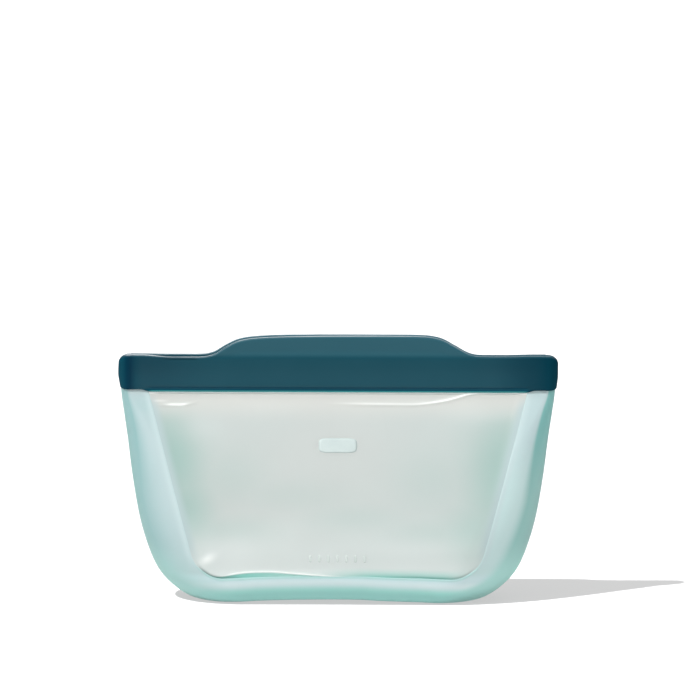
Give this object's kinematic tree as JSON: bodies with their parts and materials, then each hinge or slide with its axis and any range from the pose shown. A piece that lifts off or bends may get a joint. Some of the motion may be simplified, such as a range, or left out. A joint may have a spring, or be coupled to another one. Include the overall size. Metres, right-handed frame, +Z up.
{
  "type": "reusable silicone bag",
  "caption": "Stand-up reusable silicone food bag with a pinch-press closure, raised pull tabs, thin walls and thick rounded gussets; the mouth opens.",
  "frame": {"origin": "centre of the footprint, on the surface the bag stands on", "axes": "+X along the mouth to the right, -Y out through the front wall, +Z up to the mouth"},
  "size_m": [0.196, 0.0604, 0.1174],
  "materials": {
    "body_silicone": "translucent satin mint silicone",
    "wall_silicone": "translucent thin frosted silicone",
    "closure_silicone": "satin dark teal silicone",
    "stiffener_plastic": "natural moulded plastic",
    "seal_silicone": "smooth silicone"
  },
  "bodies": {
    "bag": {"base_gusset": "body_silicone", "left_side_gusset": "body_silicone", "right_side_gusset": "body_silicone", "left_end_hinge": "closure_silicone", "right_end_hinge": "closure_silicone"},
    "front_panel": {"front_wall": "wall_silicone", "label_patch": "wall_silicone", "level_bars": "wall_silicone"},
    "rear_panel": {"rear_wall": "wall_silicone"},
    "front_lip": {"front_lip_centre": "closure_silicone", "front_stiffener_centre": "stiffener_plastic", "front_seal_rib_centre": "seal_silicone"},
    "front_left": {"front_lip_left": "closure_silicone", "front_stiffener_left": "stiffener_plastic", "front_seal_rib_left": "seal_silicone"},
    "front_right": {"front_lip_right": "closure_silicone", "front_stiffener_right": "stiffener_plastic", "front_seal_rib_right": "seal_silicone"},
    "rear_lip": {"rear_lip_centre": "closure_silicone", "rear_stiffener_centre": "stiffener_plastic", "rear_seal_track_centre": "seal_silicone"},
    "rear_left": {"rear_lip_left": "closure_silicone", "rear_stiffener_left": "stiffener_plastic", "rear_seal_track_left": "seal_silicone"},
    "rear_right": {"rear_lip_right": "closure_silicone", "rear_stiffener_right": "stiffener_plastic", "rear_seal_track_right": "seal_silicone"}
  },
  "joints": [
    {"name": "front_lip_open", "type": "slide", "parent": "bag", "child": "front_lip", "axis": [0, -1, 0], "range_m": [0, 0.03]},
    {"name": "rear_lip_open", "type": "slide", "parent": "bag", "child": "rear_lip", "axis": [0, 1, 0], "range_m": [0, 0.03]},
    {"name": "front_wall_swing", "type": "hinge", "parent": "bag", "child": "front_panel", "pos_m": [0, -0.029, 0.0102], "axis": [1, 0, 0], "range_deg": [0, 20.5]},
    {"name": "rear_wall_swing", "type": "hinge", "parent": "bag", "child": "rear_panel", "pos_m": [0, 0.029, 0.0102], "axis": [-1, 0, 0], "range_deg": [0, 20.5]},
    {"name": "front_left_flex", "type": "hinge", "parent": "front_lip", "child": "front_left", "pos_m": [-0.046, -0.00265, 0.1], "axis": [0, 0, -1], "range_deg": [0, 37.5]},
    {"name": "front_right_flex", "type": "hinge", "parent": "front_lip", "child": "front_right", "pos_m": [0.046, -0.00265, 0.1], "axis": [0, 0, 1], "range_deg": [0, 37.5]},
    {"name": "rear_left_flex", "type": "hinge", "parent": "rear_lip", "child": "rear_left", "pos_m": [-0.046, 0.00265, 0.1], "axis": [0, 0, 1], "range_deg": [0, 37.5]},
    {"name": "rear_right_flex", "type": "hinge", "parent": "rear_lip", "child": "rear_right", "pos_m": [0.046, 0.00265, 0.1], "axis": [0, 0, -1], "range_deg": [0, 37.5]}
  ],
  "couplings": [
    {"joint": "rear_lip_open", "follows": "front_lip_open", "ratio": 1},
    {"joint": "front_wall_swing", "follows": "front_lip_open", "rad_per_m": 11.81},
    {"joint": "rear_wall_swing", "follows": "front_lip_open", "rad_per_m": 11.81},
    {"joint": "front_left_flex", "follows": "front_lip_open", "rad_per_m": 21.7},
    {"joint": "front_right_flex", "follows": "front_lip_open", "rad_per_m": 21.7},
    {"joint": "rear_left_flex", "follows": "front_lip_open", "rad_per_m": 21.7},
    {"joint": "rear_right_flex", "follows": "front_lip_open", "rad_per_m": 21.7}
  ]
}
